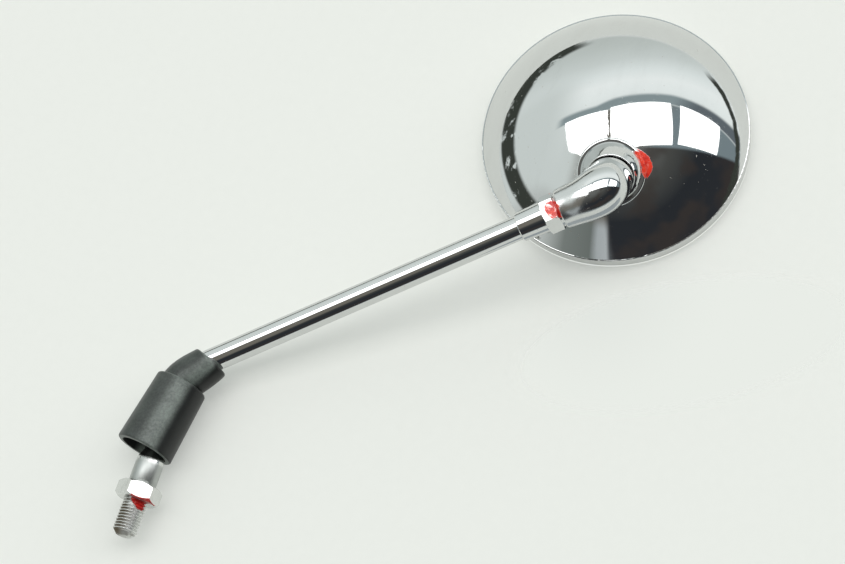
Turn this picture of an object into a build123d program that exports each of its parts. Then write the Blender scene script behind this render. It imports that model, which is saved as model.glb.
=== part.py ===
from build123d import *
import math
import os

os.makedirs("parts", exist_ok=True)

# Round rear-view mirror on a bent rod, for the rider's left hand. Millimetres and degrees.
# The origin lies on the mounting thread's axis, where its free length ends under the base lock nut.
# +Z runs up the thread, the glass faces -Y and the dome's back faces +Y.

# Base stud and base lock nut
thread_dia = 10.0
thread_length = 15.0
thread_depth = 0.8
thread_chamfer = 2.0
base_nut_across = 16.0
base_nut_height = 6.6
base_nut_turn = 20.0
nut_chamfer = 1.0
shoulder_dia = 11.4
cone_height = 3.5
neck_dia = 8.2
shoulder_length = 11.15
neck_length = 5.65
spigot_dia = 5.0
spigot_length = 12.0

# Stem
rod_dia = 10.0
bend_height = 56.5
bend_radius = 25.0
stem_lean = 54.8
stem_yaw = 11.8
stem_run = 188.8

# Boot
mouth_shift_x = 4.0
mouth_shift_y = 1.0
mouth_height = 20.9
mouth_dia = 24.0
step_dia = 21.8
boot_wall = 2.2
collar_base_dia = 17.6
collar_end_dia = 16.0
collar_reach = 13.0
sleeve_overrun = 1.0

# Neck lock nut
neck_nut_across = 14.0
neck_nut_turn = -3.0
neck_hex_length = 6.8
neck_sleeve_length = 11.1
neck_sleeve_dia = 12.0
neck_sleeve_flare = 0.8

# Elbow
elbow_reach = 20.5
elbow_bend = 10.5
elbow_start_dia = 16.0
elbow_round = 0.8
elbow_end_round = 1.0
elbow_swell_dia = 19.8
elbow_end_dia = 19.2
socket_depth = 12.0
leg_length = 18.7

# Head shell
head_dia = 110.4
rim_band = 5.8
rim_wall = 2.4
crease_step = 0.5
dome_rise = 33.4
shell_wall = 2.0
head_roll = 19.5
boss_offset = 26.5
boss_cant = 43.9
boss_lip_dia = 28.0
boss_lip_proud = 1.0
boss_waist_dia = 21.6
boss_top_dia = 19.6
boss_height = 5.6
elbow_gap = 2.4

# Ball joint
ball_dia = 13.0
ball_depth = 1.8
shank_dia = 8.0
shank_grip = 7.0
mouth_bore_dia = 12.4
liner_wall = 1.2
housing_wall = 2.8
cup_floor = 1.8
spring_height = 1.5
spring_strip = 0.7
washer_thickness = 1.2
circlip_thickness = 1.0
circlip_bite = 0.6

# Glass
glass_recess = 3.3
glass_thickness = 2.0
glass_curve = 1200.0
glass_edge_gap = 1.4
pad_thickness = 0.9
pad_width = 4.6
gasket_lip = 1.2

# Clearances
running = 0.05
press = 0.02
groove_play = 0.1
nut_foot = 0.1


def at(origin, z_dir, x_dir):
    return Plane(origin=origin, x_dir=x_dir, z_dir=z_dir).location


def spot(radius, height):
    return (radius, 0, height)


def outline(points):
    ring = points + points[:1]
    return [Line(spot(*a), spot(*b)) for a, b in zip(ring, ring[1:])]


def turned(edges):
    return revolve(Face(Wire(edges)), Axis.Z)


def lathe(points):
    return turned(outline(points))


def rod(radius, low, high):
    return Pos(0, 0, low) * Cylinder(radius, high - low, align=(Align.CENTER, Align.CENTER, Align.MIN))


def hexagon(across, low, high, turn):
    return Pos(0, 0, low) * Rot(0, 0, turn) * extrude(
        RegularPolygon(across / 2, 6, major_radius=False), high - low
    )


def edge_cut(radius, rounding, spread):
    foot = radius - rounding
    side = foot + 0.94 * rounding
    top = 0.66 * rounding
    brim = radius + spread
    return turned([
        Line(spot(foot, -1), spot(foot, 0)),
        ThreePointArc(spot(foot, 0), spot(foot + 0.57 * rounding, 0.18 * rounding), spot(side, top)),
        Line(spot(side, top), spot(brim, top + 2 * spread)),
        Line(spot(brim, top + 2 * spread), spot(brim, -1)),
        Line(spot(brim, -1), spot(foot, -1)),
    ])


def end_edges(shape, point):
    return shape.faces().filter_by(GeomType.PLANE).sort_by_distance(point)[0].outer_wire().edges()


def save(name, shape):
    shape.label = name
    export_step(shape, f"parts/{name}.step")


# Directions of the chain
up = Vector(0, 0, 1)
back = Vector(0, 1, 0)
lean = math.radians(stem_lean)
yaw = math.radians(stem_yaw)
roll = math.radians(head_roll)
cant = math.radians(boss_cant)
stem_dir = Vector(-math.sin(lean) * math.cos(yaw), math.sin(lean) * math.sin(yaw), math.cos(lean))
head_down = Vector(-math.sin(roll), 0, -math.cos(roll))
neck_dir = back * math.cos(cant) + head_down * math.sin(cant)

# Points of the chain
bend_corner = Vector(0, 0, bend_height)
elbow_corner = bend_corner + stem_dir * stem_run
elbow_face = bend_corner + stem_dir * (stem_run - elbow_reach)
lip_centre = elbow_corner - neck_dir * leg_length
ball_centre = lip_centre - neck_dir * ball_depth
boss_top = lip_centre + neck_dir * boss_height
elbow_end = boss_top + neck_dir * elbow_gap
neck_side = (back - neck_dir * back.dot(neck_dir)).normalized()
stem_side = (neck_dir - stem_dir * neck_dir.dot(stem_dir)).normalized()

# Dome
rim_radius = head_dia / 2
crease_radius = rim_radius - crease_step
dome_sag = dome_rise - rim_band
dome_radius = (crease_radius ** 2 + dome_sag ** 2) / (2 * dome_sag)
dome_centre = dome_rise - dome_radius


def dome_at(radius, inset=0.0):
    return dome_centre + math.sqrt((dome_radius - inset) ** 2 - radius ** 2)


def dome_reach(height, inset=0.0):
    return math.sqrt((dome_radius - inset) ** 2 - (height - dome_centre) ** 2)


head_centre = lip_centre - head_down * boss_offset - back * (dome_at(boss_offset) + boss_lip_proud)
head_place = at(head_centre, back, head_down)
neck_place = at(ball_centre, neck_dir, neck_side)
stem_place = at(elbow_face, stem_dir, stem_side)

# Base stud: thread, engaged thread under the nut, shoulder with a cone, neck and spigot
thread_radius = thread_dia / 2
engaged_radius = thread_radius - thread_depth / 2
nut_top = nut_foot + base_nut_height
shoulder_top = nut_top + shoulder_length
cone_top = shoulder_top + cone_height
stem_foot = cone_top + neck_length
spigot_top = stem_foot + spigot_length
base_stud = lathe([
    (0, -thread_length),
    (thread_radius - thread_chamfer, -thread_length),
    (thread_radius, thread_chamfer - thread_length),
    (thread_radius, 0),
    (engaged_radius, 0),
    (engaged_radius, nut_top),
    (shoulder_dia / 2, nut_top),
    (shoulder_dia / 2, shoulder_top),
    (neck_dia / 2, cone_top),
    (neck_dia / 2, stem_foot),
    (spigot_dia / 2, stem_foot),
    (spigot_dia / 2, spigot_top),
    (0, spigot_top),
])
save("base_stud", base_stud)

# Base lock nut, chamfered on both faces
nut_bore = engaged_radius + running
nut_face = base_nut_across / 2 - 0.1
nut_corner = base_nut_across / math.sqrt(3)
base_nut_shape = lathe([
    (nut_bore + 0.5, nut_foot),
    (nut_face, nut_foot),
    (nut_corner, nut_foot + nut_chamfer),
    (nut_corner, nut_top - nut_chamfer),
    (nut_face, nut_top),
    (nut_bore, nut_top),
    (nut_bore, nut_foot + 0.5),
])
base_lock_nut = base_nut_shape & hexagon(base_nut_across, nut_foot, nut_top, base_nut_turn)
save("base_lock_nut", base_lock_nut)

# Stem: a straight foot, one bend and a long straight run into the elbow
rod_radius = rod_dia / 2
bend_tangent = bend_radius * math.tan(lean / 2)
bend_start = bend_corner - up * bend_tangent
bend_end = bend_corner + stem_dir * bend_tangent
bend_inward = (stem_dir - up).normalized()
bend_middle = bend_corner + bend_inward * (bend_radius / math.cos(lean / 2) - bend_radius)
stem_bend = ThreePointArc(bend_start, bend_middle, bend_end)
stem_tip = elbow_face + stem_dir * (socket_depth - 0.5)


def bent_rod(radius, foot, tip):
    path = Wire([Line((0, 0, foot), bend_start), stem_bend, Line(bend_end, tip)])
    return sweep(Plane(origin=(0, 0, foot), z_dir=up) * Circle(radius), path=path)


stem = bent_rod(rod_radius, stem_foot, stem_tip)
stem = chamfer(end_edges(stem, stem_tip), 0.8)
stem -= rod(spigot_dia / 2 + press, stem_foot, spigot_top + 0.4)
save("stem", stem)

# Boot: a tapered sleeve hanging a little aside, and a collar that follows the bend
mouth_centre = Vector(mouth_shift_x, mouth_shift_y, mouth_height)
boot_dir = (stem_bend @ 0.3 - mouth_centre).normalized()
sleeve_length = (stem_bend @ 0.3 - mouth_centre).length + sleeve_overrun
step_centre = mouth_centre + boot_dir * sleeve_length
mouth_radius = mouth_dia / 2
step_radius = step_dia / 2
step_round = 1.0
mouth_round = 0.8
sleeve_outer = [
    Line(spot(0, 0), spot(mouth_radius - mouth_round, 0)),
    ThreePointArc(
        spot(mouth_radius - mouth_round, 0),
        spot(mouth_radius - 0.3 * mouth_round, 0.3 * mouth_round),
        spot(mouth_radius, mouth_round),
    ),
    Line(spot(mouth_radius, mouth_round), spot(step_radius, sleeve_length - step_round)),
    ThreePointArc(
        spot(step_radius, sleeve_length - step_round),
        spot(step_radius - 0.3 * step_round, sleeve_length - 0.3 * step_round),
        spot(step_radius - step_round, sleeve_length),
    ),
    Line(spot(step_radius - step_round, sleeve_length), spot(0, sleeve_length)),
    Line(spot(0, sleeve_length), spot(0, 0)),
]
sleeve_inner = lathe([
    (0, -1),
    (mouth_radius - boot_wall, -1),
    (step_radius - boot_wall, sleeve_length - boot_wall),
    (0, sleeve_length - boot_wall),
])
boot_place = at(mouth_centre, boot_dir, (1, 0, 0))
collar_start = step_centre - boot_dir * 1.5
collar_end = bend_corner + stem_dir * collar_reach - boot_dir * 0.4
collar_end_dir = (boot_dir * 0.65 + stem_dir * 0.35).normalized()
collar_path = Spline(collar_start, collar_end, tangents=[boot_dir, collar_end_dir])
collar_parts = []
for share in (0.0, 0.35, 0.7, 1.0):
    radius = (collar_base_dia + (collar_end_dia - collar_base_dia) * share) / 2
    collar_parts.append(Plane(collar_path @ share, (0, 1, 0), collar_path % share) * Circle(radius))
collar = loft(collar_parts)
collar = fillet(end_edges(collar, collar_end), 1.2)
boot = boot_place * turned(sleeve_outer) + collar
boot -= boot_place * sleeve_inner
boot -= bent_rod(rod_radius + running, stem_foot - 20, stem_tip)
save("boot", boot)

# Neck lock nut: a flared sleeve with a hexagon that meets the elbow
thread_bore = rod_radius + running
hex_corner = neck_nut_across / math.sqrt(3)
hex_face = neck_nut_across / 2 - 0.1
sleeve_foot = -neck_hex_length - neck_sleeve_length
neck_sleeve = lathe([
    (thread_bore, sleeve_foot),
    (neck_sleeve_dia / 2 - 0.4, sleeve_foot),
    (neck_sleeve_dia / 2, sleeve_foot + 0.4),
    ((neck_sleeve_dia + neck_sleeve_flare) / 2, -neck_hex_length + 0.2),
    (thread_bore, -neck_hex_length + 0.2),
])
neck_hex_shape = lathe([
    (thread_bore, -neck_hex_length),
    (hex_face, -neck_hex_length),
    (hex_corner, 0.6 - neck_hex_length),
    (hex_corner, -1.2),
    (hex_face, -0.7),
    (hex_face, 0),
    (thread_bore, 0),
])
neck_hex = neck_hex_shape & hexagon(neck_nut_across, -neck_hex_length, 0, neck_nut_turn)
neck_lock_nut = stem_place * (neck_sleeve + neck_hex)
save("neck_lock_nut", neck_lock_nut)

# Elbow: round sections that swell through the turn and close on the boss
elbow_turn = math.acos(-stem_dir.dot(neck_dir))
elbow_tangent = elbow_bend * math.tan(elbow_turn / 2)
turn_start = elbow_corner - stem_dir * elbow_tangent
turn_end = elbow_corner - neck_dir * elbow_tangent
turn_inward = (Vector(0, 0, 0) - stem_dir - neck_dir).normalized()
turn_middle = elbow_corner + turn_inward * (elbow_bend / math.cos(elbow_turn / 2) - elbow_bend)
elbow_arc = ThreePointArc(turn_start, turn_middle, turn_end)
elbow_side = stem_dir.cross(neck_dir).normalized()
swell = elbow_swell_dia - elbow_start_dia
taper = elbow_swell_dia - elbow_end_dia
stations = [
    (elbow_face, stem_dir, elbow_start_dia),
    (elbow_face + (turn_start - elbow_face) * 0.5, stem_dir, elbow_start_dia + 0.3 * swell),
    (turn_start, stem_dir, elbow_start_dia + 0.64 * swell),
    (elbow_arc @ 0.33, elbow_arc % 0.33, elbow_swell_dia),
    (elbow_arc @ 0.67, elbow_arc % 0.67, elbow_swell_dia - 0.4 * taper),
    (elbow_end, neck_dir * -1, elbow_end_dia),
]
elbow = loft([Plane(p, elbow_side, d) * Circle(size / 2) for p, d, size in stations])
elbow -= stem_place * edge_cut(elbow_start_dia / 2, elbow_round, 1.2)
elbow -= at(elbow_end, neck_dir, neck_side) * edge_cut(elbow_end_dia / 2, elbow_end_round, 0.3)
elbow -= stem_place * rod(thread_bore, -1, socket_depth)
end_height = ball_depth + boss_height + elbow_gap
shank_top = end_height + shank_grip
elbow -= neck_place * rod(shank_dia / 2 + press, end_height - 1, shank_top + 0.3)
save("elbow", elbow)

# Ball stud: a ball on a shank pressed into the elbow
ball_radius = ball_dia / 2
ball_stud = neck_place * (Sphere(ball_radius) + rod(shank_dia / 2, 0, shank_top))
save("ball_stud", ball_stud)

# Ball seat: a thin ring of two spheres between ball and socket
liner_inner = ball_radius + running
liner_outer = liner_inner + liner_wall


def zone(radius, angle):
    return spot(radius * math.sin(math.radians(angle)), radius * math.cos(math.radians(angle)))


seat_top = 60.0
seat_low = 88.0
seat_mid = (seat_top + seat_low) / 2
ball_seat = neck_place * turned([
    ThreePointArc(zone(liner_inner, seat_top), zone(liner_inner, seat_mid), zone(liner_inner, seat_low)),
    Line(zone(liner_inner, seat_low), zone(liner_outer, seat_low)),
    ThreePointArc(zone(liner_outer, seat_low), zone(liner_outer, seat_mid), zone(liner_outer, seat_top)),
    Line(zone(liner_outer, seat_top), zone(liner_inner, seat_top)),
])
save("ball_seat", ball_seat)

# Pressure cup, disc spring, backing washer and circlip stacked in the boss bore
socket_radius = liner_outer + running
bore_radius = socket_radius + 0.2
cup_top = -0.36 * ball_radius
cup_base = -liner_inner - cup_floor
pressure_cup = neck_place * (rod(bore_radius - running, cup_base, cup_top) - Sphere(liner_inner))
save("pressure_cup", pressure_cup)

spring_base = cup_base - spring_height
spring_hole = 0.42 * bore_radius
spring_edge = bore_radius - 0.6
disc_spring = neck_place * lathe([
    (spring_hole, cup_base),
    (spring_hole, cup_base - spring_strip),
    (spring_edge, spring_base),
    (spring_edge, spring_base + spring_strip),
])
save("disc_spring", disc_spring)

washer_base = spring_base - washer_thickness
backing_washer = neck_place * (
    rod(bore_radius - running, washer_base, spring_base)
    - rod(spring_hole, washer_base - 1, spring_base + 1)
)
save("backing_washer", backing_washer)

clip_base = washer_base - circlip_thickness
clip_outer = bore_radius + circlip_bite
clip_inner = bore_radius - 1.6
clip_ring = rod(clip_outer, clip_base, washer_base) - rod(clip_inner, clip_base - 1, washer_base + 1)
clip_gap = Pos(bore_radius, 0, clip_base) * Box(6, 5, 6)
circlip = neck_place * (clip_ring - clip_gap)
save("circlip", circlip)

# Head shell: rim band, spherical dome, inner seat flange, inclined boss and ball socket
rim_bore = rim_radius - rim_wall
seat_height = glass_recess + glass_thickness + pad_thickness
glass_radius = rim_bore - glass_edge_gap
flange_radius = glass_radius - pad_width - 0.6
flange_top = seat_height + shell_wall
inner_reach = dome_reach(flange_top, shell_wall)
mid_outer = 0.6 * crease_radius
mid_inner = 0.6 * inner_reach
dome = turned([
    Line(spot(rim_bore, 0), spot(rim_radius, 0)),
    Line(spot(rim_radius, 0), spot(rim_radius, rim_band)),
    Line(spot(rim_radius, rim_band), spot(crease_radius, rim_band)),
    ThreePointArc(spot(crease_radius, rim_band), spot(mid_outer, dome_at(mid_outer)), spot(0, dome_rise)),
    Line(spot(0, dome_rise), spot(0, dome_rise - shell_wall)),
    ThreePointArc(
        spot(0, dome_rise - shell_wall),
        spot(mid_inner, dome_at(mid_inner, shell_wall)),
        spot(inner_reach, flange_top),
    ),
    Line(spot(inner_reach, flange_top), spot(flange_radius, flange_top)),
    Line(spot(flange_radius, flange_top), spot(flange_radius, seat_height)),
    Line(spot(flange_radius, seat_height), spot(rim_bore, seat_height)),
    Line(spot(rim_bore, seat_height), spot(rim_bore, 0)),
])
front_edges = dome.edges().filter_by(GeomType.CIRCLE).group_by(Axis.Z)[0]
dome = fillet(front_edges, 0.9)
band_edge = dome.edges().filter_by(GeomType.CIRCLE).filter_by(
    lambda e: abs(e.radius - rim_radius) < 0.01 and e.center().Z > rim_band - 0.1
)
dome = fillet(band_edge, 0.3)
shell = head_place * dome

# The lip lies square to the dome, and the collar leans from it to the neck's axis
dome_dir = (head_down * boss_offset + back * (dome_at(boss_offset) - dome_centre)).normalized()
lip_side = dome_dir.cross(elbow_side).normalized()
lip_radius = boss_lip_dia / 2
lip = rod(lip_radius, -3.2, 0)
lip = fillet(lip.edges().group_by(Axis.Z)[-1], 0.9)
shell += at(lip_centre, dome_dir, lip_side) * lip
boss_tilt_axis = dome_dir.cross(neck_dir).normalized()
waist_dir = (dome_dir + neck_dir).normalized()
boss_foot = lip_centre - dome_dir * 0.4
boss_waist = lip_centre + neck_dir * boss_height * 0.45
boss = loft([
    Plane(boss_foot, boss_tilt_axis, dome_dir) * Circle(lip_radius - 1.5),
    Plane(boss_waist, boss_tilt_axis, waist_dir) * Circle(boss_waist_dia / 2),
    Plane(boss_top, boss_tilt_axis, neck_dir) * Circle(boss_top_dia / 2),
])
boss = fillet(end_edges(boss, boss_top), 0.6)
shell += boss
housing_base = clip_base - 1.4
core_radius = dome_reach(rim_band, shell_wall / 2)
core = turned([
    Line(spot(0, rim_band), spot(core_radius, rim_band)),
    ThreePointArc(
        spot(core_radius, rim_band),
        spot(mid_outer, dome_at(mid_outer, shell_wall / 2)),
        spot(0, dome_rise - shell_wall / 2),
    ),
    Line(spot(0, dome_rise - shell_wall / 2), spot(0, rim_band)),
])
housing = neck_place * rod(bore_radius + housing_wall, housing_base, ball_depth)
shell += housing & (head_place * core)
shell -= neck_place * Sphere(socket_radius)
shell -= neck_place * rod(bore_radius, housing_base - 1, 0)
shell -= neck_place * rod(mouth_bore_dia / 2, 0, ball_depth + boss_height + 1)
shell -= neck_place * rod(clip_outer + groove_play, clip_base - groove_play, washer_base)
save("shell", shell)

# Mirror glass, its backing pad and the gasket between glass and rim
glass_middle = glass_recess + math.sqrt(glass_curve ** 2 - glass_radius ** 2)
glass_hollow = glass_curve - glass_thickness


def glass_rear(radius):
    return glass_middle - math.sqrt(glass_hollow ** 2 - radius ** 2)


def glass_front(radius):
    return glass_middle - math.sqrt(glass_curve ** 2 - radius ** 2)


glass_disc = rod(glass_radius, 0, seat_height) & (Pos(0, 0, glass_middle) * Sphere(glass_curve))
mirror_glass = head_place * (glass_disc - Pos(0, 0, glass_middle) * Sphere(glass_hollow))
save("mirror_glass", mirror_glass)

pad_outer = glass_radius - 0.3
pad_inner = pad_outer - pad_width
glass_pad = head_place * lathe([
    (pad_inner, glass_rear(pad_inner) + press),
    (pad_outer, glass_rear(pad_outer) + press),
    (pad_outer, seat_height),
    (pad_inner, seat_height),
])
save("glass_pad", glass_pad)

gasket_inner = glass_radius + running
gasket_front = glass_recess - gasket_lip
gasket_edge = glass_radius - gasket_lip
glass_gasket = head_place * lathe([
    (gasket_inner, seat_height),
    (gasket_inner, glass_recess + press),
    (gasket_inner - 0.1, glass_recess - running),
    (gasket_edge, glass_front(gasket_edge) - running),
    (gasket_edge, gasket_front + 0.3),
    (gasket_edge + 0.4, gasket_front),
    (rim_bore - press, gasket_front),
    (rim_bore - press, seat_height),
])
save("glass_gasket", glass_gasket)

for name, point in (
    ("elbow corner", elbow_corner),
    ("elbow face", elbow_face),
    ("lip centre", lip_centre),
    ("ball centre", ball_centre),
    ("head centre", head_centre),
    ("stem direction", stem_dir),
    ("neck direction", neck_dir),
    ("neck side", neck_side),
    ("neck cross", neck_dir.cross(neck_side)),
):
    print(name, round(point.X, 4), round(point.Y, 4), round(point.Z, 4))
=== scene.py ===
import math

import bpy
from mathutils import Matrix, Vector


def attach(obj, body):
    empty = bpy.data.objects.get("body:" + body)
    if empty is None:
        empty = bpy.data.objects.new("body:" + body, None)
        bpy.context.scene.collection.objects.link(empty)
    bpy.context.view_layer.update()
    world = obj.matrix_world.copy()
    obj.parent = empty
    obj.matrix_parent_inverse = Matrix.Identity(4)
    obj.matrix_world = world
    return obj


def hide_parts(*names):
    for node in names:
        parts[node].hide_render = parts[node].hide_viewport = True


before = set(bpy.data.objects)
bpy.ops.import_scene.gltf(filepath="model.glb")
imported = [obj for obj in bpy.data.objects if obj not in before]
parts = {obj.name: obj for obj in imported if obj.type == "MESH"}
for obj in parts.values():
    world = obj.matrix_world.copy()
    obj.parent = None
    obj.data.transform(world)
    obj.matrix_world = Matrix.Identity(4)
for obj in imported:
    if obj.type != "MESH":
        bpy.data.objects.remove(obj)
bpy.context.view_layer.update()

print("frame: %d nodes" % len(parts))


class Plug:
    def __init__(self, tree, socket=None):
        self.tree = tree
        self.socket = socket

    # any node: its type, its settings, then values or links for its sockets
    def node(self, kind, settings=None, inputs=None, out=0):
        made = self.tree.nodes.new(kind)
        for key, value in (settings or {}).items():
            if key == "stops":
                ramp = made.color_ramp
                while len(ramp.elements) < len(value):
                    ramp.elements.new(1.0)
                for element, (place, colour) in zip(ramp.elements, value):
                    element.position = place
                    element.color = colour
            else:
                setattr(made, key, value)
        for key, value in (inputs or {}).items():
            if isinstance(value, Plug):
                self.tree.links.new(value.socket, made.inputs[key])
            else:
                made.inputs[key].default_value = value
        return Plug(self.tree, made.outputs[out] if made.outputs else None)

    def maths(self, operation, *values):
        return self.node("ShaderNodeMath", {"operation": operation}, dict(enumerate(values)))

    def vector(self, operation, other=(0, 0, 0), out=0):
        return self.node("ShaderNodeVectorMath", {"operation": operation}, {0: self, 1: other}, out)

    def __add__(self, other):
        return self.maths("ADD", self, other)

    def __radd__(self, other):
        return self.maths("ADD", other, self)

    def __sub__(self, other):
        return self.maths("SUBTRACT", self, other)

    def __rsub__(self, other):
        return self.maths("SUBTRACT", other, self)

    def __mul__(self, other):
        return self.maths("MULTIPLY", self, other)

    def __rmul__(self, other):
        return self.maths("MULTIPLY", other, self)

    def __truediv__(self, other):
        return self.maths("DIVIDE", self, other)

    def __rtruediv__(self, other):
        return self.maths("DIVIDE", other, self)

    def __neg__(self):
        return self.maths("MULTIPLY", self, -1.0)

    def __pow__(self, other):
        return self.maths("POWER", self, other)

    def __or__(self, other):
        return self.maths("MAXIMUM", self, other)

    def __and__(self, other):
        return self.maths("MINIMUM", self, other)

    # soft step from 0 at low to 1 at high
    def fade(self, low, high):
        if low > high:
            return 1 - self.fade(high, low)
        return self.node("ShaderNodeMapRange", {"interpolation_type": "SMOOTHSTEP"},
                         {"Value": self, "From Min": low, "From Max": high})

    def along(self, axis):
        return self.vector("DOT_PRODUCT", axis, "Value")

    def away(self, point):
        return self.vector("DISTANCE", point, "Value")

    def stretch(self, by):
        return self.vector("MULTIPLY", by)

    def less(self, point):
        return self.vector("SUBTRACT", point)

    def noise(self, scale, detail=3.0, rough=0.5, warp=0.0):
        return self.node("ShaderNodeTexNoise", {}, {
            "Vector": self, "Scale": scale, "Detail": detail, "Roughness": rough,
            "Distortion": warp})

    # noise about zero, for ragged edges
    def jitter(self, noise, size):
        return (self.noise(*noise) - 0.5) * size

    # noise cut to a mask: the noise's own values, then the two ends of the fade
    def blotch(self, noise, edge):
        return self.noise(*noise).fade(*edge)

    def tint(self, first, second):
        return self.node("ShaderNodeMix", {"data_type": "RGBA"}, {0: self, 6: first, 7: second}, 2)


# sRGB bytes to a linear colour
def rgb(red, green, blue):
    linear = [(v / 255 + 0.055) / 1.055 for v in (red, green, blue)]
    return (*[v ** 2.4 for v in linear], 1.0)


# Where the photograph was taken from, in metres
shot = {
    "place": (-0.4314, 1.1844, -0.2693),
    "right": (-0.9331, -0.1710, 0.3164),
    "up": (0.2381, 0.3654, 0.8999),
    "forward": (0.2695, -0.9150, 0.3002),
    "lens": 136.33,
    "sensor": 36,
    "nearest": 0.05,
}


def placeCamera():
    data = bpy.data.cameras.new("camera")
    data.sensor_width = shot["sensor"]
    data.lens = shot["lens"]
    data.clip_start = shot["nearest"]
    camera = bpy.data.objects.new("camera", data)
    turn = Matrix((shot["right"], shot["up"], [-v for v in shot["forward"]])).transposed()
    camera.matrix_world = Matrix.Translation(shot["place"]) @ turn.to_4x4()
    bpy.context.collection.objects.link(camera)
    bpy.context.scene.camera = camera
    bpy.context.scene.view_settings.view_transform = "Standard"


placeCamera()
print("camera placed")


def sideOf(ray, first, second, toward):
    normal = Vector(first).cross(Vector(second)).normalized()
    return ray.along(normal if normal.dot(Vector(toward)) > 0 else -normal)


# The wall over the panels, brightest next to them, with a shadow line along their tops
wall = {
    "tones": [(0.0, rgb(224, 230, 229)), (0.17, rgb(236, 242, 241)), (0.32, rgb(240, 245, 244)),
              (0.46, rgb(227, 234, 233)), (0.62, rgb(206, 213, 211)), (0.8, rgb(193, 200, 197)),
              (1.0, rgb(183, 189, 186))],
    "left": rgb(206, 213, 211), "leftFrom": (0.42, 0.80), "leftBelow": (0.75, 0.35),
    "cold": rgb(120, 133, 138), "warm": rgb(112, 109, 102), "warmFrom": (-0.50, -0.20),
    "pale": rgb(206, 213, 211), "paleFrom": (0.28, 0.50),
    "foot": (-0.04, 0.0), "softFoot": (-0.5, 0.1), "softFrom": (0.5, 0.6),
    "shade": [rgb(138, 151, 154), rgb(98, 106, 112)], "shadeDark": (-0.35, -0.6),
    "shadeFoot": (-0.02, -0.005), "shadeTop": (0.135, 0.085), "shadeEnd": (0.72, 0.63),
    "shadeThin": (0.15, 0.40), "thinBy": 0.035,
}


def wallRoom(g, across, above):
    tone = g.node("ShaderNodeValToRGB", {"stops": wall["tones"]}, {0: above})
    tone = (across.fade(*wall["leftFrom"]) * above.fade(*wall["leftBelow"])).tint(tone, wall["left"])
    under = across.fade(*wall["warmFrom"]).tint(wall["cold"], wall["warm"])
    under = across.fade(*wall["paleFrom"]).tint(under, wall["pale"])
    over = above.fade(*wall["foot"]) | above.fade(*wall["softFoot"]) * across.fade(*wall["softFrom"])
    band = above + across.fade(*wall["shadeThin"]) * wall["thinBy"]
    shade = above.fade(*wall["shadeFoot"]) * band.fade(*wall["shadeTop"]) * across.fade(*wall["shadeEnd"])
    return shade.tint(over.tint(under, tone), across.fade(*wall["shadeDark"]).tint(*wall["shade"]))


# Behind the camera: pale and grey bands, then the dark corner of the room
corner = {
    "back": [(0.43, rgb(90, 93, 95)), (0.45, rgb(176, 181, 183)), (0.50, rgb(168, 174, 176)),
             (0.54, rgb(108, 114, 111)), (0.68, rgb(122, 128, 125)), (0.80, rgb(190, 195, 193))],
    "backFrom": (-0.45, -0.62), "backBelow": (0.62, 0.45),
    "tones": [(0.0, rgb(44, 46, 50)), (0.55, rgb(42, 45, 49)), (0.8, rgb(74, 75, 73)),
              (1.0, rgb(112, 114, 112))],
    "patch": rgb(60, 54, 51), "patches": ((2.6, 2.0), (0.46, 0.68)), "patchShare": 0.7,
    "low": [(0.0, 1.0, -0.10), (-2.8, 1.0, 0.96)], "lowSoft": (-0.02, 0.02),
    "left": [(0.08, 1.0, -0.15), (-0.13, 0.35, -0.925)], "leftSoft": (-0.05, 0.04),
    "toward": (-0.78, 0.38, -0.49),
}


def cornerRoom(g, room, ray, across, height, away):
    back = g.node("ShaderNodeValToRGB", {"stops": corner["back"]}, {0: across * 0.5 + 0.5})
    room = (away.fade(*corner["backFrom"]) * height.fade(*corner["backBelow"])).tint(room, back)
    tone = g.node("ShaderNodeValToRGB", {"stops": corner["tones"]}, {0: height})
    tone = (ray.blotch(*corner["patches"]) * corner["patchShare"]).tint(tone, corner["patch"])
    low = sideOf(ray, *corner["low"], corner["toward"]).fade(*corner["lowSoft"])
    left = sideOf(ray, *corner["left"], corner["toward"]).fade(*corner["leftSoft"])
    return (low * left).tint(room, tone)


# A dark strip of the far room along the bench's edge, broader on the +X side, and the ground under it
strip = {
    "colour": rgb(58, 62, 57), "ragged": (7.0, 4.0, 0.65), "raggedBy": 0.06,
    "lean": 0.17, "wideFoot": (-0.03, 0.01), "wideTop": (0.24, 0.18), "wideFrom": (0.48, 0.62),
    "wideHoles": (0.36, 0.44),
    "thinFoot": (-0.02, 0.0), "thinTop": (0.065, 0.045), "thinFrom": (-0.30, -0.45),
    "ground": [rgb(150, 157, 160), rgb(214, 218, 215)], "groundLean": 0.4, "groundTurn": (-0.7, 0.6),
    "groundTop": (-0.06, 0.0),
}


def stripRoom(room, ray, across, height, away):
    ragged = ray.noise(*strip["ragged"])
    lift = height + away * strip["lean"]
    wide = lift.fade(*strip["wideFoot"]) * lift.fade(*strip["wideTop"])
    wide = wide * across.fade(*strip["wideFrom"]) * ragged.fade(*strip["wideHoles"])
    level = height + (ragged - 0.5) * strip["raggedBy"]
    thin = level.fade(*strip["thinFoot"]) * level.fade(*strip["thinTop"]) * across.fade(*strip["thinFrom"])
    room = (wide | thin).tint(room, strip["colour"])
    ground = (away + across * strip["groundLean"]).fade(*strip["groundTurn"]).tint(*strip["ground"])
    return (height.fade(*strip["groundTop"]) | wide).tint(ground, room)


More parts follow.
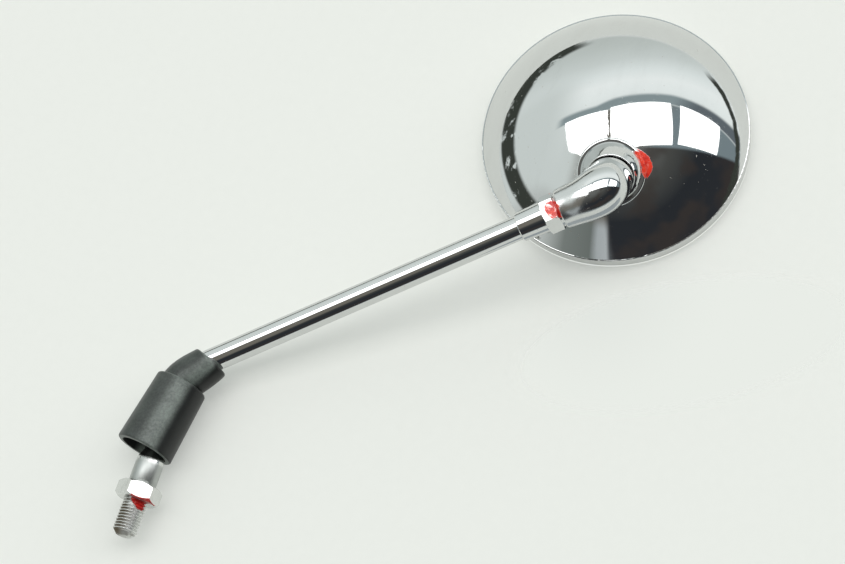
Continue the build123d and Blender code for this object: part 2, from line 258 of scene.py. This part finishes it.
# Soft light from three pale panels over the bench; each panel's corners are (x/y, z/y)
studio = {
    "panels": [
        [(0.80, 0.135), (0.235, 0.372), (0.012, -0.30), (0.615, -0.25)],
        [(0.210, 0.415), (-0.54, 0.915), (-0.745, 0.23), (0.039, -0.11)],
        [(-0.736, 1.03), (-2.99, 2.28), (-2.8, 0.96), (-0.845, 0.29)],
    ],
    "panelColour": (1.0, 1.0, 1.0, 1.0),
    "panelSoft": 0.006,
    "panelPower": 2.4,
    "strength": 1.3,
    # past the bench the camera sees a plain tone that is darker toward the floor beside the head: a painted
    # shadow of the head and stem
    "seen": [rgb(222, 226, 221), rgb(233, 237, 231)],  # what the camera sees past the bench
    "seenShadowToward": (0.2212, -0.9213, 0.3197),
    "seenReach": (-0.01, 0.046),
}


# inside a panel, and the height above its top edge
def panelMask(ray, corners):
    ends = [Vector((p, 1.0, q)) for p, q in corners]
    middle = sum(ends, Vector())
    sides = [sideOf(ray, first, second, middle) for first, second in zip(ends, ends[1:] + ends[:1])]
    inside = 1.0
    for side in sides:
        inside = inside * side.fade(-studio["panelSoft"], studio["panelSoft"])
    return inside, -sides[0]


def lightStudio():
    world = bpy.data.worlds.new("studio")
    world.use_nodes = True
    world.node_tree.nodes.clear()
    g = Plug(world.node_tree)
    ray = g.node("ShaderNodeTexCoord", {}, {}, "Generated")
    across, height, away = (ray.along(axis) for axis in ((1, 0, 0), (0, 1, 0), (0, 0, 1)))
    masks, tops = zip(*[panelMask(ray, corners) for corners in studio["panels"]])
    panels = masks[0] | masks[1] | masks[2]
    room = wallRoom(g, across, tops[0] & (tops[1] | tops[2]))
    room = cornerRoom(g, room, ray, across, height, away)
    room = stripRoom(room, ray, across, height, away)
    glow = g.node("ShaderNodeBackground", {}, {
        "Color": panels.tint(room, studio["panelColour"]),
        "Strength": studio["strength"] * (1 + panels * (studio["panelPower"] - 1))})
    # painted shadow: the plain tone darkens toward the floor beside the head, where the head and stem cast
    # their shadow
    pale = ray.away(studio["seenShadowToward"]).fade(*studio["seenReach"]).tint(*studio["seen"])
    plain = g.node("ShaderNodeBackground", {}, {"Color": pale, "Strength": 1.0})
    eye = g.node("ShaderNodeLightPath", {}, {}, "Is Camera Ray")
    both = g.node("ShaderNodeMixShader", {}, {0: eye, 1: glow, 2: plain})
    g.node("ShaderNodeOutputWorld", {}, {"Surface": both})
    bpy.context.scene.world = world


lightStudio()
print("studio lit")


def finish(name, recipe):
    made = bpy.data.materials.new(name)
    made.use_nodes = True
    made.node_tree.nodes.clear()
    g = Plug(made.node_tree)
    spot = g.node("ShaderNodeTexCoord", {}, {}, "Object")
    g.node("ShaderNodeOutputMaterial", {}, {"Surface": recipe(g, spot)})
    return made


def principled(g, **inputs):
    names = {"colour": "Base Color", "rough": "Roughness", "metal": "Metallic", "normal": "Normal",
             "shine": "Specular IOR Level", "glow": "Emission Color", "power": "Emission Strength"}
    return g.node("ShaderNodeBsdfPrincipled", {}, {names[k]: v for k, v in inputs.items()})


# each finish gives its bump as (strength, depth in metres)
def bumped(g, height, bump, base=None):
    inputs = {"Height": height, "Strength": bump[0], "Distance": bump[1]}
    return g.node("ShaderNodeBump", {}, inputs if base is None else {**inputs, "Normal": base})


def meshPiece(name, verts, faces, sharp):
    mesh = bpy.data.meshes.new(name)
    mesh.from_pydata([tuple(v) for v in verts], [], faces)
    mesh.update()
    mesh.shade_smooth()
    mesh.set_sharp_from_angle(angle=sharp)
    piece = bpy.data.objects.new(name, mesh)
    bpy.context.collection.objects.link(piece)
    return piece


# The bench is one-sided, open under the glass, and left out where the head dips when the elbow swivels
bench = {
    "level": -0.0112,
    "centre": (-0.1378, 0.2025),
    "hole": 0.0552,
    "edge": 0.45,
    "sides": 128,
    "sharp": 0.6,
    "colour": rgb(177, 178, 173),
    "fleck": rgb(181, 182, 177),
    "flecks": (260.0, 4.0),
    "rough": 0.7,
    "glow": rgb(231, 235, 230),
    "power": 0.42,
    "gapCentre": (-0.1900, 0.0, 0.1249),
    "gapAlong": (0.898, 0.0, -0.44),
    "gapAcross": (0.44, 0.0, 0.898),
    "gapReach": (0.066, 0.026),
    "gapEdge": (1.12, 0.90),
}


def benchPaint(g, spot):
    colour = spot.noise(*bench["flecks"]).tint(bench["colour"], bench["fleck"])
    top = principled(g, colour=colour, rough=bench["rough"], glow=bench["glow"], power=bench["power"])
    place = spot.less(bench["gapCentre"])
    along = place.along(bench["gapAlong"]) / bench["gapReach"][0]
    across = place.along(bench["gapAcross"]) / bench["gapReach"][1]
    gap = ((along * along + across * across) ** 0.5).fade(*bench["gapEdge"])
    behind = g.node("ShaderNodeNewGeometry", {}, {}, "Backfacing")
    clear = g.node("ShaderNodeBsdfTransparent")
    return g.node("ShaderNodeMixShader", {}, {0: gap | behind, 1: top, 2: clear})


def makeBench():
    count = bench["sides"]
    verts = []
    for radius in (bench["hole"], bench["edge"]):
        for k in range(count):
            turn = 2 * math.pi * k / count
            verts.append((bench["centre"][0] + radius * math.cos(turn), bench["level"],
                          bench["centre"][1] + radius * math.sin(turn)))
    faces = [(k, (k + 1) % count, count + (k + 1) % count, count + k) for k in range(count)]
    piece = meshPiece("bench", verts, faces, bench["sharp"])
    piece.data.materials.append(finish("benchTop", benchPaint))


makeBench()
print("bench laid")


# Directions of the stem and of the boss, as in the frame
stemDir = Vector((-0.7999, 0.1671, 0.5764))
neckDir = Vector((-0.2315, 0.7206, -0.6536))
neckSide = Vector((0.2405, 0.6934, 0.6792))
neckCross = Vector((0.9426, 0.0, -0.3338))
upDir = (0.0, 0.0, 1.0)  # along the stud

# Red paint marks; lengths are in metres
paint = {
    "red": rgb(238, 60, 30),
    "deep": rgb(206, 28, 18),
    # a darker copy of the same red for the paint under the base nut: painted shade
    "shadow": rgb(168, 16, 14),
    "thin": rgb(240, 140, 126),
    "rough": 0.30,
    "clouds": ((330.0, 3.0), (0.35, 0.65)),
    "brushed": (1.0, 0.5, 1.0), "strokes": ((760.0, 4.0, 0.6), (0.56, 0.66)), "strokeShare": 0.55,
}


def paintTone(spot, dark="deep", light="red"):
    tone = spot.blotch(*paint["clouds"]).tint(paint[dark], paint[light])
    strokes = spot.stretch(paint["brushed"]).blotch(*paint["strokes"])
    return (strokes * paint["strokeShare"]).tint(tone, paint["thin"])


# brushed on the boss's edge and the dome beside it
lip = {
    "centre": (-0.146688, 0.018075, 0.177553),
    "ragged": ((420.0, 4.0, 0.6), 0.0016),
    "inner": (0.0119, 0.0124), "innerBelow": -0.0009, "innerSlope": 0.75,
    "outer": (0.0169, 0.0165), "bowAt": 0.0006, "bow": 85.0,
    "lowEnd": (-0.0052, -0.0046), "highEnd": (0.0074, 0.0068), "half": (0.0, -0.001),
}


def lipPaint(spot):
    place = spot.less(lip["centre"])
    across = place.along(neckCross)
    side = place.along(neckSide)
    ragged = spot.jitter(*lip["ragged"])
    ring = (across * across + side * side) ** 0.5 + ragged
    off = side - lip["bowAt"]
    inner = (ring - (lip["innerBelow"] - side | 0.0) * lip["innerSlope"]).fade(*lip["inner"])
    outer = (ring + off * off * lip["bow"]).fade(*lip["outer"])
    ends = (side + ragged).fade(*lip["lowEnd"]) * (side + ragged).fade(*lip["highEnd"])
    return inner * outer * ends * across.fade(*lip["half"])


# dabbed over the neck nut, then rubbed off its facet; it stays in the groove beside the elbow
dab = {
    "centre": (-0.13285, 0.0350, 0.15066), "reach": (0.0031, 0.0034), "drop": 0.0005,
    "ragged": ((520.0, 4.0, 0.65), 0.8), "edge": (1.02, 0.86),
    "rubGrain": (0.6, 1.0, 1.0), "bandMask": ((420.0, 3.0, 0.6), (0.36, 0.50)), "kept": (0.35, 0.6),
    "nutEnd": (-0.134619, 0.028123, 0.153514),
    "grooveRagged": ((600.0, 3.0), 0.0012),
    "grooveNear": (-0.0009, -0.0006), "grooveFar": (0.0007, 0.0004),
    "grooveTop": (-0.0022, -0.0014), "grooveFoot": (0.0052, 0.0044),
    "facing": (0.02, 0.97, 0.24), "facingEdge": (-0.0055, -0.0035),
}


def neckPaint(spot):
    place = spot.less(dab["centre"])
    down = place.along(stemDir.cross(neckDir).normalized())
    run = place.along(stemDir) / dab["reach"][0]
    turn = (down - dab["drop"]) / dab["reach"][1]
    mark = ((run * run + turn * turn) ** 0.5 + spot.jitter(*dab["ragged"])).fade(*dab["edge"])
    least, more = dab["kept"]
    kept = least + spot.stretch(dab["rubGrain"]).blotch(*dab["bandMask"]) * more
    past = spot.less(dab["nutEnd"]).along(stemDir) + spot.jitter(*dab["grooveRagged"])
    groove = past.fade(*dab["grooveNear"]) * past.fade(*dab["grooveFar"])
    groove = groove * down.fade(*dab["grooveTop"]) * down.fade(*dab["grooveFoot"])
    return (mark * kept | groove) * place.along(dab["facing"]).fade(*dab["facingEdge"])


# run down from the base nut's lower chamfer over the first threads; turns are in radians
drip = {
    "middle": math.radians(130),
    "ragged": ((480.0, 4.0, 0.65), 0.0016),
    "chamferRagged": 90.0, "chamferFrom": (-0.72, -0.66), "chamferTo": (0.94, 0.84),
    "coneRadius": 0.0079, "coneSlope": 0.747, "coneRagged": 0.1, "coneEdge": (0.0004, 0.0002),
    "coneFoot": (-0.0003, 0.0),
    "sagAt": 0.36, "sag": 0.0021, "foot": (-0.0038, -0.0034), "top": (0.0003, 0.0),
    "start": (-0.84, -0.78), "end": (0.74, 0.66),
}


def studRadius(spot):
    return spot.stretch((1.0, 1.0, 0.0)).away((0.0, 0.0, 0.0))


def footPaint(spot):
    first = Vector((math.cos(drip["middle"]), math.sin(drip["middle"]), 0.0))
    second = Vector((-first.y, first.x, 0.0))
    turn = spot.maths("ARCTAN2", spot.along(second), spot.along(first))
    level = spot.along(upDir)
    ragged = spot.jitter(*drip["ragged"])
    wavy = turn + ragged * drip["chamferRagged"]
    proud = level - (studRadius(spot) - drip["coneRadius"]) * drip["coneSlope"]
    chamfer = wavy.fade(*drip["chamferFrom"]) * wavy.fade(*drip["chamferTo"])
    chamfer = chamfer * (proud + ragged * drip["coneRagged"]).fade(*drip["coneEdge"])
    chamfer = chamfer * level.fade(*drip["coneFoot"])
    off = turn - drip["sagAt"]
    run = (level - off * off * drip["sag"] + ragged).fade(*drip["foot"]) * level.fade(*drip["top"])
    return chamfer | run * turn.fade(*drip["start"]) * turn.fade(*drip["end"])


# the balls that the dome and the glass are cut from, and how far from the pole their normals are used
dome = {"centre": (-0.13784, -0.045555, 0.20253), "pole": (-0.13784, 0.02245, 0.20253),
        "reach": (0.00575, 0.0045)}
glass = {"centre": (-0.13784, 1.19125, 0.20253), "pole": (-0.13784, -0.008751, 0.20253),
         "reach": (0.0345, 0.027)}


# the true normal of a ball-shaped face about its pole, where the mesh runs to a point
def roundNormal(g, spot, ball):
    turned = g.node("ShaderNodeVectorTransform",
                    {"vector_type": "NORMAL", "convert_from": "OBJECT", "convert_to": "WORLD"},
                    {0: spot.less(ball["centre"])})
    plain = g.node("ShaderNodeNewGeometry", {}, {}, "Normal")
    near = spot.away(ball["pole"]).fade(*ball["reach"])
    mixed = g.node("ShaderNodeMix", {"data_type": "VECTOR"},
                   {0: near, 4: plain, 5: turned.vector("NORMALIZE")}, 1)
    return mixed.vector("NORMALIZE")


# plated steel: faint wipe marks, hair scratches and a few specks of dust
chrome = {
    "colour": (0.665, 0.675, 0.67, 1), "haze": (0.61, 0.617, 0.61, 1), "dust": (0.46, 0.42, 0.35, 1),
    "rough": 0.028,
    "wipeGrain": (1.0, 0.6, 0.22), "wipes": ((160.0, 4.0, 0.6), (0.48, 0.72)),
    "wipeShare": 0.35, "wipeRough": 0.035,
    "hairGrain": (0.18, 1.0, 1.0), "hairs": ((1500.0, 2.0, 0.4, 0.6), (0.66, 0.72)), "hairRough": 0.05,
    "specks": ((900.0, 1.0), (0.745, 0.765)), "speckAreas": ((70.0, 2.0), (0.48, 0.60)),
    "speckShare": 0.6, "speckRough": 0.3, "speckCover": 0.35,
    "waves": (34.0, 1.0), "waveHeight": 0.5, "paintHeight": 1.2, "bump": (0.05, 0.0004),
    "elbowDull": 0.19, "elbowReach": (0.021, 0.005),
}


def chromeFinish(g, spot, mask=None, base=None, dull=None):
    wipe = spot.stretch(chrome["wipeGrain"]).blotch(*chrome["wipes"])
    hair = spot.stretch(chrome["hairGrain"]).blotch(*chrome["hairs"])
    speck = spot.blotch(*chrome["specks"]) * spot.blotch(*chrome["speckAreas"])
    colour = (wipe * chrome["wipeShare"]).tint(chrome["colour"], chrome["haze"])
    colour = (speck * chrome["speckShare"]).tint(colour, chrome["dust"])
    rough = chrome["rough"] + wipe * chrome["wipeRough"] + hair * chrome["hairRough"]
    rough = rough + speck * chrome["speckRough"]
    metal = 1 - speck * chrome["speckCover"]
    height = spot.noise(*chrome["waves"]) * chrome["waveHeight"]
    if dull is not None:
        rough = rough + dull
    if mask is not None:
        colour = mask.tint(colour, paintTone(spot))
        rough = rough + mask * paint["rough"]
        metal = metal * (1 - mask)
        height = height + mask * chrome["paintHeight"]
    return principled(g, colour=colour, metal=metal, rough=rough,
                      normal=bumped(g, height, chrome["bump"], base))


# plating worn dull at the elbow's end beside the nut
def elbowDull(spot):
    past = spot.less(dab["nutEnd"]).along(stemDir)
    return past.fade(*chrome["elbowReach"]) * chrome["elbowDull"]


# brown dirt in the thread's roots, most on the +X side with a thin film there, and a smear on the end
dirt = {
    "colour": (0.078, 0.056, 0.024, 1), "rough": 0.3, "cover": 0.8, "top": (0.0004, -0.0006),
    "root": (0.00492, 0.00456), "rootAreas": ((150.0, 2.0), (0.25, 0.55)), "rootShare": (0.04, 0.94),
    "tip": (-0.0128, -0.0142), "tipAreas": ((300.0, 2.0), (0.42, 0.58)), "tipShare": 0.5,
    "side": Vector((1.0, 0.15, 0.0)).normalized(), "sideEdge": (-0.0035, 0.0030),
    "film": (0.45, 1.0), "filmAreas": ((260.0, 3.0), (0.30, 0.62)), "filmShare": 0.24,
}


def studDirt(spot):
    level = spot.along(upDir)
    face = spot.along(dirt["side"]).fade(*dirt["sideEdge"])
    least, more = dirt["rootShare"]
    root = studRadius(spot).fade(*dirt["root"]) * spot.blotch(*dirt["rootAreas"]) * (least + face * more)
    tip = level.fade(*dirt["tip"]) * spot.blotch(*dirt["tipAreas"]) * dirt["tipShare"]
    film = face.fade(*dirt["film"]) * spot.blotch(*dirt["filmAreas"]) * dirt["filmShare"]
    return level.fade(*dirt["top"]) * (root | tip | film)


# plated fixings: cloudier than the chrome; the stud's shoulder is rubbed and its thread duller
zinc = {
    "colour": (0.72, 0.73, 0.715, 1), "dull": (0.56, 0.57, 0.55, 1), "worn": (0.45, 0.47, 0.455, 1),
    "rough": 0.17,
    "clouds": (210.0, 4.0, 0.6), "cloudEdge": (0.42, 0.78), "cloudShare": 0.5, "cloudRough": 0.08,
    "wipeGrain": (1.0, 1.0, 0.12), "wipes": ((900.0, 2.0), (0.45, 0.75)),
    "wipeShare": 0.2, "wipeRough": 0.05,
    "shoulderFoot": (0.0066, 0.0070), "shoulderTop": (0.0172, 0.0150),
    "shoulderShare": 0.9, "shoulderRough": 0.22,
    "threadTop": (0.0, -0.0006), "threadRough": 0.12,
    "paintRough": 0.2, "bump": (0.03, 0.0003),
}


def zincFinish(g, spot, mask, dirty=None):
    cloud = spot.noise(*zinc["clouds"])
    wiped = spot.stretch(zinc["wipeGrain"]).blotch(*zinc["wipes"])
    dulled = cloud.fade(*zinc["cloudEdge"]) * zinc["cloudShare"] + wiped * zinc["wipeShare"]
    colour = dulled.tint(zinc["colour"], zinc["dull"])
    rough = zinc["rough"] + cloud * zinc["cloudRough"] + wiped * zinc["wipeRough"]
    metal = 1 - mask
    if dirty is not None:
        level = spot.along(upDir)
        bandMask = level.fade(*zinc["shoulderFoot"]) * level.fade(*zinc["shoulderTop"])
        colour = (bandMask * zinc["shoulderShare"]).tint(colour, zinc["worn"])
        colour = dirty.tint(colour, dirt["colour"])
        rough = rough + bandMask * zinc["shoulderRough"] + level.fade(*zinc["threadTop"]) * zinc["threadRough"]
        rough = rough + dirty * dirt["rough"]
        metal = metal * (1 - dirty * dirt["cover"])
    # the paint on the stud and nut takes the darker shadow and deep reds: painted shade, as it lies under
    # the nut
    colour = mask.tint(colour, paintTone(spot, "shadow", "deep"))
    return principled(g, colour=colour, metal=metal, rough=rough + mask * zinc["paintRough"],
                      normal=bumped(g, cloud + mask, zinc["bump"]))


# moulded rubber: grey bloom in clouds, scuffs down its length and a fine grain; the bloom lies mostly on a
# band of faces turned across the 'under' direction as a painted sheen, and is left off faces turned toward
# it, which stay dark as painted shade
rubber = {
    "colour": (0.0045, 0.0054, 0.0052, 1), "bloomAndSheen": (0.235, 0.272, 0.246, 1),
    "rough": 0.36, "shine": 0.42,
    "clouds": ((95.0, 5.0, 0.6), (0.36, 0.74)), "cloudRough": 0.08,
    "scuffGrain": (1.0, 1.0, 0.25), "scuffs": ((640.0, 3.0, 0.55), (0.58, 0.72)), "scuffHeight": 0.6,
    "grain": (3200.0, 2.0), "grainRough": 0.05,
    "mottle": ((1000.0, 4.0, 0.7), (0.3, 0.7)),
    "under": (-0.937, -0.316, -0.123), "underEdge": (0.50, 0.16), "overEdge": (-0.50, -0.05),
    "overShare": (0.28, 0.72), "sheenBandShare": (0.03, 0.97), "bloomShare": (0.32, 0.28, 0.12, 0.28),
    "bump": (0.08, 0.0002),
}


def rubberFinish(g, spot):
    cloud = spot.blotch(*rubber["clouds"])
    scuff = spot.stretch(rubber["scuffGrain"]).blotch(*rubber["scuffs"])
    grain = spot.noise(*rubber["grain"])
    mottle = spot.blotch(*rubber["mottle"])
    facing = g.node("ShaderNodeTexCoord", {}, {}, "Normal").along(rubber["under"])
    least, more = rubber["overShare"]
    # painted sheen: the bloom goes mostly on a band of faces turned across 'under', less on faces turned
    # away from it; faces turned toward 'under' get none and stay dark as painted shade
    bandMask = facing.fade(*rubber["underEdge"]) * (least + facing.fade(*rubber["overEdge"]) * more)
    plain, byCloud, byScuff, byMottle = rubber["bloomShare"]
    least, more = rubber["sheenBandShare"]
    bloomAndSheen = (plain + cloud * byCloud + scuff * byScuff + mottle * byMottle) * (least + bandMask * more)
    return principled(g, colour=bloomAndSheen.tint(rubber["colour"], rubber["bloomAndSheen"]), shine=rubber["shine"],
                      rough=rubber["rough"] + cloud * rubber["cloudRough"] + grain * rubber["grainRough"],
                      normal=bumped(g, grain + scuff * rubber["scuffHeight"], rubber["bump"]))


mirror = {
    "colour": (0.84, 0.865, 0.862, 1), "rough": 0.008,
    "dust": (0.55, 0.55, 0.52, 1), "specks": ((900.0, 2.0), (0.72, 0.77)),
    "speckShare": 0.7, "speckRough": 0.25,
    "smearGrain": (1.0, 1.0, 0.3), "smears": ((70.0, 3.0), (0.5, 0.75)), "smearRough": 0.02,
    "bump": (0.02, 0.0001),
}


def mirrorFinish(g, spot):
    speck = spot.blotch(*mirror["specks"])
    smear = spot.stretch(mirror["smearGrain"]).blotch(*mirror["smears"])
    colour = (speck * mirror["speckShare"]).tint(mirror["colour"], mirror["dust"])
    rough = mirror["rough"] + smear * mirror["smearRough"] + speck * mirror["speckRough"]
    return principled(g, colour=colour, metal=1.0, rough=rough,
                      normal=bumped(g, speck, mirror["bump"], roundNormal(g, spot, glass)))


steel = {"tones": [(0.42, 0.42, 0.43, 1), (0.55, 0.55, 0.55, 1)], "turning": (1400.0, 3.0),
         "rough": 0.24, "turnedRough": 0.12, "bump": (0.05, 0.0002)}


def steelFinish(g, spot):
    turned = spot.noise(*steel["turning"])
    return principled(g, colour=turned.tint(*steel["tones"]), metal=1.0,
                      rough=steel["rough"] + turned * steel["turnedRough"],
                      normal=bumped(g, turned, steel["bump"]))


nylon = {"tones": [(0.62, 0.60, 0.54, 1), (0.70, 0.68, 0.62, 1)], "clouds": (300.0, 3.0),
         "rough": 0.42, "cloudRough": 0.1}


def nylonFinish(g, spot):
    cloud = spot.noise(*nylon["clouds"])
    return principled(g, colour=cloud.tint(*nylon["tones"]),
                      rough=nylon["rough"] + cloud * nylon["cloudRough"])


foam = {"tones": [(0.035, 0.035, 0.035, 1), (0.075, 0.075, 0.075, 1)], "cells": (1500.0, 3.0),
        "rough": 0.92, "bump": (0.4, 0.0003)}


def foamFinish(g, spot):
    cell = spot.noise(*foam["cells"])
    return principled(g, colour=cell.tint(*foam["tones"]), rough=foam["rough"],
                      normal=bumped(g, cell, foam["bump"]))


recipes = {
    "chromePlate": chromeFinish,
    "shellPlate": lambda g, spot: chromeFinish(g, spot, lipPaint(spot), roundNormal(g, spot, dome)),
    "neckPlate": lambda g, spot: chromeFinish(g, spot, neckPaint(spot)),
    "elbowPlate": lambda g, spot: chromeFinish(g, spot, neckPaint(spot), dull=elbowDull(spot)),
    "nutZinc": lambda g, spot: zincFinish(g, spot, footPaint(spot)),
    "studZinc": lambda g, spot: zincFinish(g, spot, footPaint(spot), studDirt(spot)),
    "bootRubber": rubberFinish,
    "mirrorCoat": mirrorFinish,
    "plainSteel": steelFinish,
    "nylonNatural": nylonFinish,
    "foamPad": foamFinish,
}
finishes = {name: finish(name, recipe) for name, recipe in recipes.items()}
worn = {
    "base_stud": "studZinc", "base_lock_nut": "nutZinc", "stem": "chromePlate", "boot": "bootRubber",
    "neck_lock_nut": "neckPlate", "elbow": "elbowPlate", "ball_stud": "plainSteel",
    "ball_seat": "nylonNatural", "pressure_cup": "nylonNatural", "disc_spring": "plainSteel",
    "backing_washer": "plainSteel", "circlip": "plainSteel", "shell": "shellPlate",
    "mirror_glass": "mirrorCoat", "glass_pad": "foamPad", "glass_gasket": "bootRubber",
}
for name, dressing in worn.items():
    parts[name].data.materials.clear()
    parts[name].data.materials.append(finishes[dressing])
print("finishes applied: %d" % len(finishes))


# The stud again, with its real screw thread, in millimetres; upper is (radius, height) above the thread
stud = {
    "pitch": 1.25, "depth": 0.70, "crest": 5.0, "tip": -15.0, "chamfer": 2.0,
    "flat": 0.14, "rounding": 0.35,  # shares of the flank
    "columns": 96, "steps": 12, "sharp": 1.3,
    "upper": [(4.6, 0.02), (4.6, 6.7), (5.45, 6.7), (5.7, 6.95), (5.7, 17.6), (5.55, 17.95), (4.15, 21.25),
              (4.1, 21.5), (4.1, 27.0)],
}


def threadRadius(height, turn):
    wave = (height / stud["pitch"] - turn) % 1.0
    ridge = 1 - abs(2 * wave - 1)
    ridge = min(max((ridge - stud["flat"]) / (1 - 2 * stud["flat"]), 0.0), 1.0)
    ridge = ridge * ridge * (3 - 2 * ridge) * stud["rounding"] + ridge * (1 - stud["rounding"])
    cone = stud["crest"] - stud["chamfer"] + height - stud["tip"]
    return min(stud["crest"] - stud["depth"] * (1 - ridge), cone)


# the rows follow the screw line, so a column after one turn meets its own start a pitch higher
def makeStud():
    count, steps, tip = stud["columns"], stud["steps"], stud["tip"]
    verts, known, faces = [], {}, []

    def addPoint(radius, column, height):
        turn = 2 * math.pi * column / count
        verts.append((radius * math.cos(turn) / 1000, radius * math.sin(turn) / 1000, height / 1000))
        return len(verts) - 1

    def screwPoint(column, row):
        height = min(max(tip + (row / steps + column / count - 1) * stud["pitch"], tip), 0.0)
        key = (column % count, round(height, 4))
        if key not in known:
            known[key] = addPoint(threadRadius(height, column / count), column, height)
        return known[key]

    rows = round((1 - tip / stud["pitch"]) * steps)
    for row in range(rows):
        for k in range(count):
            ends = (screwPoint(k, row), screwPoint(k + 1, row),
                    screwPoint(k + 1, row + 1), screwPoint(k, row + 1))
            ends = tuple(dict.fromkeys(ends))  # at the tip and the top some ends fall together
            if len(ends) > 2:
                faces.append(ends)
    rings = [[screwPoint(k, rows) for k in range(count)]]
    for radius, height in stud["upper"]:
        rings.append([addPoint(radius, k, height) for k in range(count)])
    for low, high in zip(rings, rings[1:]):
        for k in range(count):
            after = (k + 1) % count
            faces.append((low[k], low[after], high[after], high[k]))
    faces.append(tuple(screwPoint(k, 0) for k in reversed(range(count))))
    faces.append(tuple(rings[-1]))
    piece = meshPiece("stud_thread", verts, faces, stud["sharp"])
    piece.data.materials.append(finishes["studZinc"])
    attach(piece, "base")
    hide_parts("base_stud")


makeStud()
print("stud threaded")
